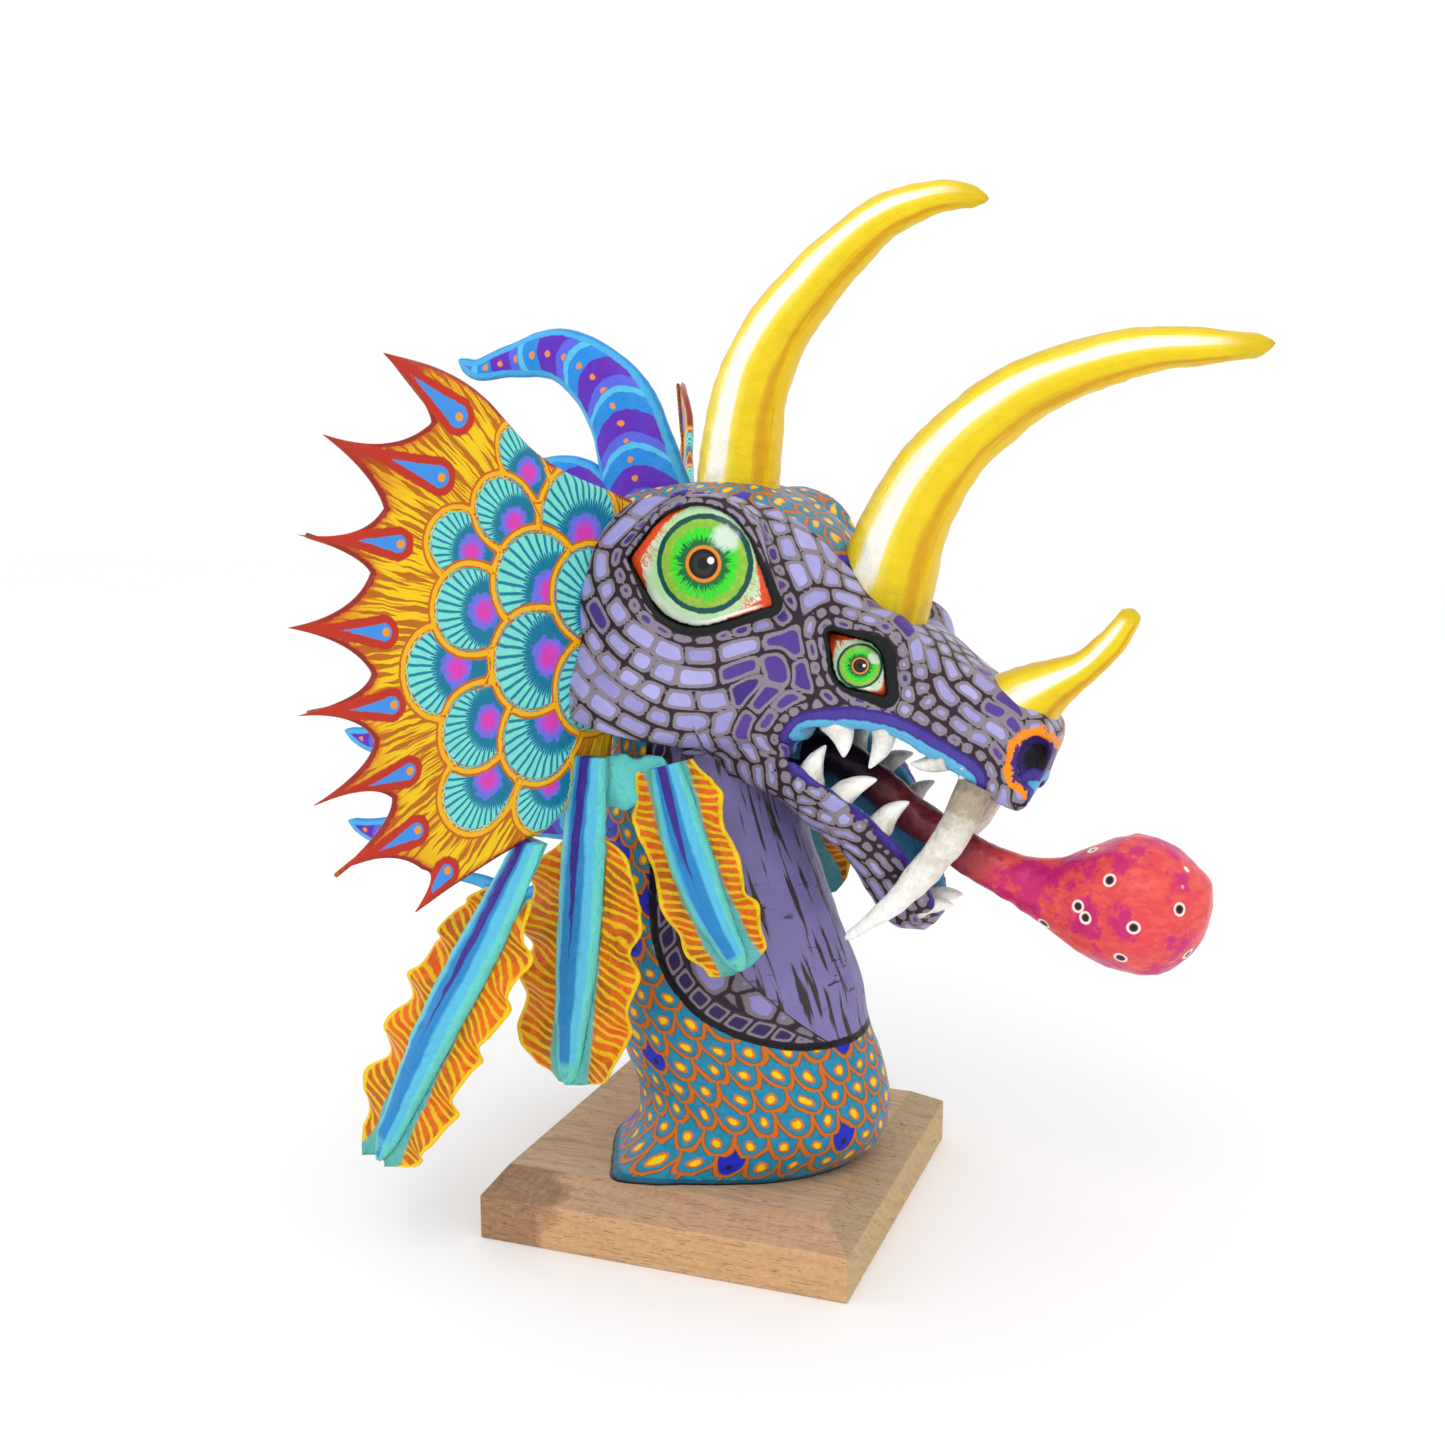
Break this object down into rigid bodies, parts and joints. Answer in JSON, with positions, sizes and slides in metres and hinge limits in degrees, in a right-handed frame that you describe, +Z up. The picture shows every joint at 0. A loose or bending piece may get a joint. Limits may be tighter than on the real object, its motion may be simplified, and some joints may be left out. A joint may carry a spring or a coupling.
{
  "type": "alebrije figure",
  "caption": "Painted papier-mache dragon head with gaping mouth, curved horns, spiky side fans and hanging lappets, on a bevelled wooden plinth.",
  "frame": {"origin": "middle of the plinth's underside, at the height of the surface that it stands on", "axes": "+Z up, +X from the back of the head to the snout, +Y to the figure's left"},
  "size_m": [0.4598, 0.4108, 0.4842],
  "materials": {
    "plinth_wood": "sanded, bare grain",
    "inner_wood": "sawn",
    "screw_steel": "zinc plated",
    "wire_steel": "annealed wire",
    "neck_skin": "papier-mache, satin hand-painted scales",
    "head_skin": "papier-mache, satin hand-painted cells",
    "tongue_skin": "papier-mache, satin paint",
    "horn_skin": "papier-mache, satin paint",
    "spine_skin": "papier-mache, satin paint",
    "fan_card": "card, satin hand-painted",
    "ruffle_card": "crimped card, satin paint",
    "ridge_skin": "papier-mache, satin paint",
    "eye_gloss": "gloss varnish over paint",
    "tooth_ivory": "hard paper pulp, ivory enamel"
  },
  "bodies": {
    "root": {"plinth": "plinth_wood", "foot_block": "inner_wood", "foot_screws": "screw_steel", "neck_post": "inner_wood", "neck": "neck_skin", "head": "head_skin", "lower_jaw": "head_skin", "tongue": "tongue_skin", "tongue_wire": "wire_steel", "horn_crown": "horn_skin", "horn_brow": "horn_skin", "horn_nose": "horn_skin", "crest_spine_1": "spine_skin", "crest_spine_2": "spine_skin", "crest_spine_3": "spine_skin", "crest_spine_4": "spine_skin", "crest_spine_5": "spine_skin", "crest_spine_6": "spine_skin", "frill_right": "fan_card", "frill_left": "fan_card", "frill_wires_right": "wire_steel", "frill_wires_left": "wire_steel", "lappet_right_1_ruffle": "ruffle_card", "lappet_right_1_ridge": "ridge_skin", "lappet_right_2_ruffle": "ruffle_card", "lappet_right_2_ridge": "ridge_skin", "lappet_right_3_ruffle": "ruffle_card", "lappet_right_3_ridge": "ridge_skin", "lappet_left_1_ruffle": "ruffle_card", "lappet_left_1_ridge": "ridge_skin", "lappet_left_2_ruffle": "ruffle_card", "lappet_left_2_ridge": "ridge_skin", "lappet_left_3_ruffle": "ruffle_card", "lappet_left_3_ridge": "ridge_skin", "lappet_band_right": "ridge_skin", "lappet_band_left": "ridge_skin", "eye_big_right": "eye_gloss", "eye_big_left": "eye_gloss", "eye_small_right": "eye_gloss", "eye_small_left": "eye_gloss", "tusk_right": "tooth_ivory", "tusk_left": "tooth_ivory", "teeth_upper_right": "tooth_ivory", "teeth_upper_left": "tooth_ivory", "teeth_lower_right": "tooth_ivory", "teeth_lower_left": "tooth_ivory"}
  },
  "joints": []
}
